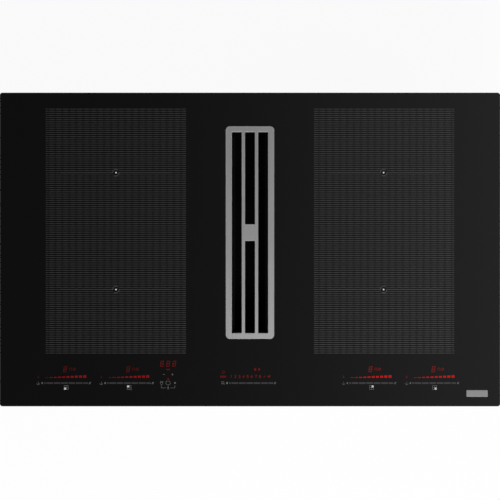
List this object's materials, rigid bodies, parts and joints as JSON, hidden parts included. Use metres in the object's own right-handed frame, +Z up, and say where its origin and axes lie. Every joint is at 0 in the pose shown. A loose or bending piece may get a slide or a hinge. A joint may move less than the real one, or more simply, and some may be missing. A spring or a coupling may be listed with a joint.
{
  "type": "venting induction cooktop",
  "caption": "Built-in induction cooktop with a black glass panel, striped cooking fields, touch controls and a lift-off intake grille over a filter, drip pan and blower.",
  "frame": {"origin": "middle of the glass panel's outline, on the worktop plane where the rim seal rests", "axes": "+X to the cook's right along the panel's width, +Y to the back, +Z up out of the worktop"},
  "size_m": [0.83, 0.52, 0.2127],
  "materials": {
    "black_glass": "polished",
    "satin_steel": "satin",
    "galvanised_steel": "galvanised, dull",
    "black_plastic": "matt",
    "black_steel": "matt black enamel",
    "mesh_aluminium": "black anodised",
    "seal_foam": "matt",
    "soft_rubber": "matt",
    "sheet_aluminium": "mill finish",
    "former_plastic": "matt",
    "coil_copper": "enamelled copper",
    "ferrite": "matt",
    "sensor_ceramic": "matt",
    "mineral_mat": "fibrous",
    "board_green": "solder mask",
    "component_black": "moulded",
    "zinc_steel": "zinc plated"
  },
  "bodies": {
    "chassis": {"air_shaft": "black_plastic", "base_screws": "zinc_steel", "board_components_left": "component_black", "board_components_right": "component_black", "board_standoffs": "zinc_steel", "bond_bead": "seal_foam", "cable_gland": "black_plastic", "case_screws": "zinc_steel", "clamp_screws": "zinc_steel", "coil_former_left_front": "former_plastic", "coil_former_left_rear": "former_plastic", "coil_former_right_front": "former_plastic", "coil_former_right_rear": "former_plastic", "coil_plate_left": "sheet_aluminium", "coil_plate_right": "sheet_aluminium", "coil_sensors": "sensor_ceramic", "coil_winding_left_front": "coil_copper", "coil_winding_left_rear": "coil_copper", "coil_winding_right_front": "coil_copper", "coil_winding_right_rear": "coil_copper", "control_board": "board_green", "control_carrier": "black_plastic", "display_modules": "component_black", "extractor_base": "galvanised_steel", "extractor_case": "galvanised_steel", "fan_frame_left": "black_plastic", "fan_frame_right": "black_plastic", "ferrite_bars": "ferrite", "glass_top": "black_glass", "heat_sink_left": "sheet_aluminium", "heat_sink_right": "sheet_aluminium", "hob_tray": "galvanised_steel", "insulation_mat_left": "mineral_mat", "insulation_mat_right": "mineral_mat", "intake_collar": "black_plastic", "motor": "zinc_steel", "motor_bearing": "zinc_steel", "motor_dampers": "soft_rubber", "outlet_spigot": "black_plastic", "plate_spacers": "zinc_steel", "power_board_left": "board_green", "power_board_right": "board_green", "rim_seal": "seal_foam", "scroll_body": "black_plastic", "scroll_lid": "black_plastic", "spigot_screws": "zinc_steel", "terminal_block": "black_plastic", "touch_pads": "soft_rubber", "worktop_clamps": "galvanised_steel"},
    "drip_pan": {"drip_pan": "black_plastic"},
    "filter": {"filter_basket": "black_steel", "filter_mesh_left": "mesh_aluminium", "filter_mesh_right": "mesh_aluminium"},
    "grille": {"grille": "satin_steel", "grille_pads": "soft_rubber"},
    "impeller": {"impeller": "black_plastic", "impeller_shaft": "zinc_steel"},
    "fan_left": {"fan_rotor_left": "black_plastic"},
    "fan_right": {"fan_rotor_right": "black_plastic"}
  },
  "joints": [
    {"name": "drip_pan_lift", "type": "slide", "parent": "chassis", "child": "drip_pan", "axis": [0, 0, 1], "range_m": [0, 0.26]},
    {"name": "filter_lift", "type": "slide", "parent": "drip_pan", "child": "filter", "axis": [0, 0, 1], "range_m": [0, 0.1]},
    {"name": "grille_lift", "type": "slide", "parent": "filter", "child": "grille", "axis": [0, 0, 1], "range_m": [0, 0.06]},
    {"name": "impeller_spin", "type": "hinge", "parent": "chassis", "child": "impeller", "pos_m": [0.165, 0, -0.15], "axis": [0, 0, 1], "continuous": true},
    {"name": "fan_left_spin", "type": "hinge", "parent": "chassis", "child": "fan_left", "pos_m": [-0.35, -0.1, -0.042], "axis": [0, 0, 1], "continuous": true},
    {"name": "fan_right_spin", "type": "hinge", "parent": "chassis", "child": "fan_right", "pos_m": [0.35, -0.1, -0.042], "axis": [0, 0, 1], "continuous": true}
  ]
}
